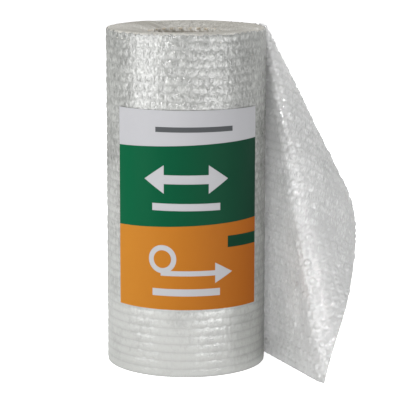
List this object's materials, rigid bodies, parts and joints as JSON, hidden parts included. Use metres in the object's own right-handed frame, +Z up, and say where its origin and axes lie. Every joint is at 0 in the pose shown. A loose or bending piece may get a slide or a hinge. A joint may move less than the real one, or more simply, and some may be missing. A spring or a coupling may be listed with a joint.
{
  "type": "bubble wrap roll",
  "caption": "Upright roll of clear bubble wrap with an open middle, a paper label round its front and a loose end that opens out and curls back on one side.",
  "frame": {"origin": "on the axis of the roll's open middle, in the plane that the roll stands on", "axes": "+Z up along the roll's axis, -Y towards the label, +X towards the side where the loose end opens out"},
  "size_m": [0.2965, 0.2442, 0.4],
  "materials": {
    "film": "clear polyethylene film, milky where many turns lie behind each other",
    "label": "satin printed paper with a white, a green and an orange field"
  },
  "bodies": {
    "root": {"bubble_wrap": "film", "label": "label"}
  },
  "joints": []
}
